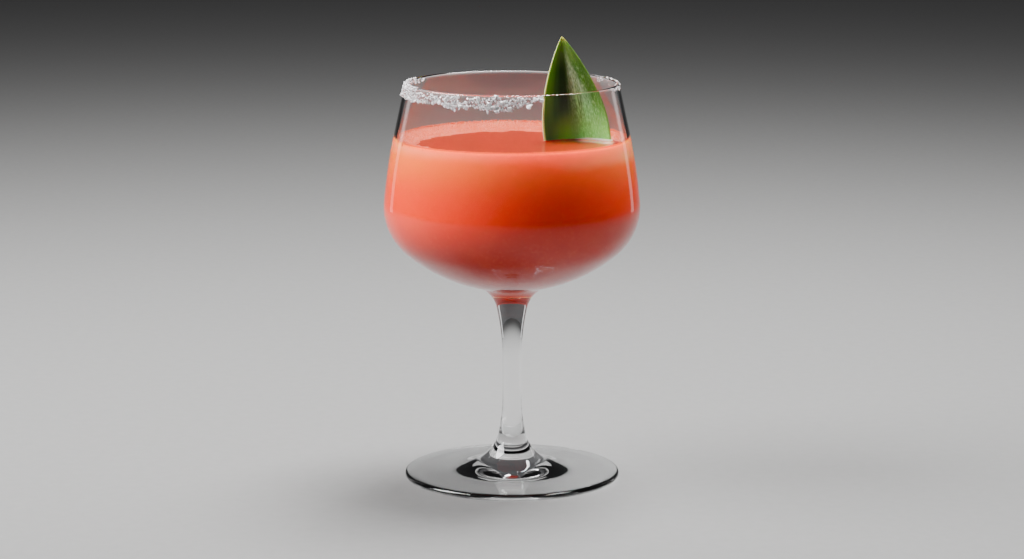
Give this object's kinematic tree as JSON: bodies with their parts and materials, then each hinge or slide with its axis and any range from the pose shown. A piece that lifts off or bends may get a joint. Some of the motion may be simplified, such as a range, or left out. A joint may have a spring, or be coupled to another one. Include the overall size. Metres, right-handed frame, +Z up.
{
  "type": "margarita cocktail",
  "caption": "Stemmed round-bellied glass filled with an orange margarita, a channelled pineapple leaf standing in the drink and a crust of coarse salt round part of the rim.",
  "frame": {"origin": "middle of the foot, on the plane the glass stands on", "axes": "+Z up along the stem, -Y towards the front, where the leaf's hollow side faces, +X to the right, where the leaf stands"},
  "size_m": [0.096, 0.096, 0.1677],
  "materials": {
    "glass": "clear, fire-polished",
    "drink": "cloudy coral-orange liquid, paler froth at the surface",
    "leaf": "satin green leaf with fine length-wise ribs and pale margins",
    "salt": "translucent white grains"
  },
  "bodies": {
    "root": {"glass": "glass", "drink": "drink", "leaf": "leaf", "salt_crust": "salt", "salt_patch": "salt"}
  },
  "joints": []
}
